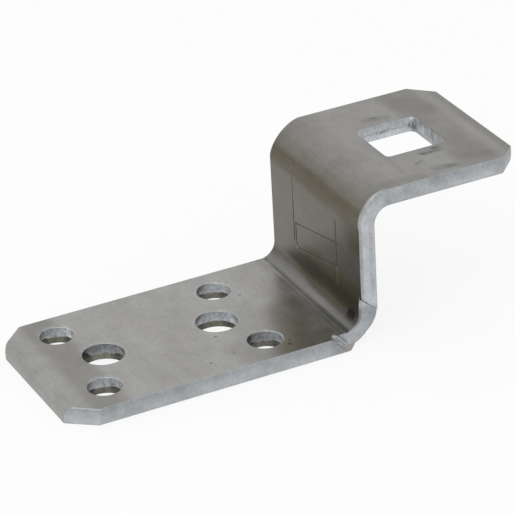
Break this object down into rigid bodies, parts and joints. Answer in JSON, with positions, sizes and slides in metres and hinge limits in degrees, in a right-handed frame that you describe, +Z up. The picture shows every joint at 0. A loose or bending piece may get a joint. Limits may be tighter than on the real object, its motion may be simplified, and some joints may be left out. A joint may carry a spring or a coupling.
{
  "type": "z bracket",
  "caption": "Z bracket folded from flat steel bar, with round bolt holes in the lower flange and a square hole in the upper flange.",
  "frame": {"origin": "under the middle of the overall length and width, on the underside of the lower flange", "axes": "+X from the free end of the lower flange towards the free end of the upper flange, +Y across the bar, +Z up"},
  "size_m": [0.13, 0.05, 0.044],
  "materials": {
    "zinc_coated_steel": "satin zinc coating, softly mottled, with scuffs and dark tool marks"
  },
  "bodies": {
    "root": {"z_bracket": "zinc_coated_steel"}
  },
  "joints": []
}
